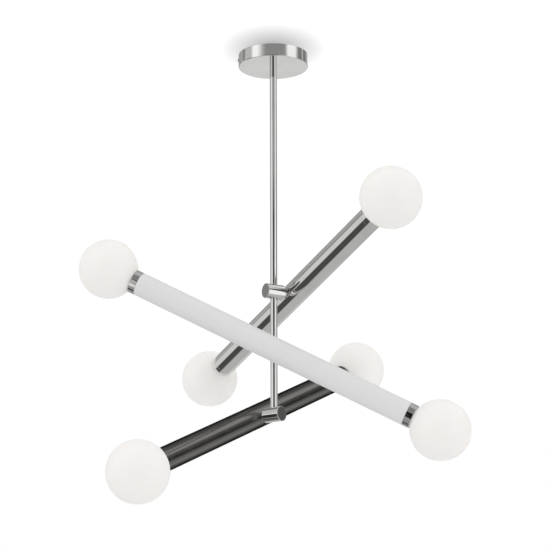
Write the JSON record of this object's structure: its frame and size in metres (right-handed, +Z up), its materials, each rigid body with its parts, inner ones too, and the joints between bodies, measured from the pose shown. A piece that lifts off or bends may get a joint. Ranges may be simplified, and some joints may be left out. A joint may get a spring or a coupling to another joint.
{
  "type": "multi arm chandelier",
  "caption": "Ceiling lamp with a slim rod and straight tube arms that turn and tilt on barrel joints, each with opal glass globes at its ends.",
  "frame": {"origin": "on the ceiling, midway between the two slots of the bracket, on the rod's axis", "axes": "+Z up along the rod towards the ceiling; the lamp hangs towards -Z; +X is to the right and +Y away from someone who faces the lamp; the bracket's slots lie along X"},
  "size_m": [0.6464, 0.6056, 0.8016],
  "materials": {
    "chrome": "polished",
    "white_paint": "smooth satin paint",
    "dark_nickel": "polished black nickel plate",
    "opal_glass": "satin opal",
    "zinc_steel": "bright zinc plate",
    "spring_steel": "blued",
    "brass": "machined",
    "holder_ceramic": "unglazed steatite",
    "bulb_glass": "frosted",
    "black_nylon": "moulded",
    "block_plastic": "moulded",
    "lead_sheath": "heat-resistant sheath"
  },
  "bodies": {
    "rod": {"ceiling_bracket": "zinc_steel", "canopy_cover": "chrome", "canopy_screw": "chrome", "hanger_nipple": "zinc_steel", "hanger_nut": "zinc_steel", "nipple_bush": "black_nylon", "terminal_block": "block_plastic", "terminal_screws": "zinc_steel", "stem_leads": "lead_sheath", "upper_rod": "chrome", "rod_joiner": "zinc_steel", "lower_rod": "chrome"},
    "upper_barrel_body": {"upper_barrel": "chrome", "upper_friction_shoe": "brass", "upper_disc_springs": "spring_steel", "upper_front_plug": "zinc_steel"},
    "upper_arm": {"upper_swivel_stud": "zinc_steel", "upper_stud_nuts": "zinc_steel", "upper_friction_washers": "black_nylon", "upper_arm_boss": "chrome", "upper_saddle_washer": "zinc_steel", "upper_arm_tube": "chrome", "upper_arm_wiring": "lead_sheath", "upper_end_rings": "chrome", "upper_lamp_holders": "holder_ceramic", "upper_bulbs": "bulb_glass", "upper_globe_a": "opal_glass", "upper_globe_b": "opal_glass"},
    "middle_barrel_body": {"middle_barrel": "chrome", "middle_friction_shoe": "brass", "middle_disc_springs": "spring_steel", "middle_front_plug": "zinc_steel"},
    "middle_arm": {"middle_swivel_stud": "zinc_steel", "middle_stud_nuts": "zinc_steel", "middle_friction_washers": "black_nylon", "middle_arm_boss": "chrome", "middle_saddle_washer": "zinc_steel", "middle_arm_tube": "white_paint", "middle_arm_wiring": "lead_sheath", "middle_end_rings": "chrome", "middle_lamp_holders": "holder_ceramic", "middle_bulbs": "bulb_glass", "middle_globe_a": "opal_glass", "middle_globe_b": "opal_glass"},
    "lower_barrel_body": {"lower_barrel": "chrome", "lower_friction_shoe": "brass", "lower_disc_springs": "spring_steel", "lower_front_plug": "zinc_steel"},
    "lower_arm": {"lower_swivel_stud": "zinc_steel", "lower_stud_nuts": "zinc_steel", "lower_friction_washers": "black_nylon", "lower_arm_boss": "dark_nickel", "lower_saddle_washer": "zinc_steel", "lower_arm_tube": "dark_nickel", "lower_arm_wiring": "lead_sheath", "lower_end_rings": "dark_nickel", "lower_lamp_holders": "holder_ceramic", "lower_bulbs": "bulb_glass", "lower_globe_a": "opal_glass", "lower_globe_b": "opal_glass"}
  },
  "joints": [
    {"name": "upper_swivel", "type": "hinge", "parent": "rod", "child": "upper_barrel_body", "pos_m": [0, 0, -0.421], "axis": [0, 0, 1], "range_deg": [-30, 60]},
    {"name": "upper_tilt", "type": "hinge", "parent": "upper_barrel_body", "child": "upper_arm", "pos_m": [0, 0, -0.421], "axis": [0.859, 0.512, 0], "range_deg": [-36, 35]},
    {"name": "middle_swivel", "type": "hinge", "parent": "rod", "child": "middle_barrel_body", "pos_m": [0, 0, -0.5255], "axis": [0, 0, 1], "range_deg": [-62, 70]},
    {"name": "middle_tilt", "type": "hinge", "parent": "middle_barrel_body", "child": "middle_arm", "pos_m": [0, 0, -0.5255], "axis": [-0.1201, -0.9928, 0], "range_deg": [-40, 45]},
    {"name": "lower_swivel", "type": "hinge", "parent": "rod", "child": "lower_barrel_body", "pos_m": [0, 0, -0.63], "axis": [0, 0, 1], "range_deg": [-70, 30]},
    {"name": "lower_tilt", "type": "hinge", "parent": "lower_barrel_body", "child": "lower_arm", "pos_m": [0, 0, -0.63], "axis": [-0.7793, 0.6266, 0], "range_deg": [-33, 60]}
  ]
}
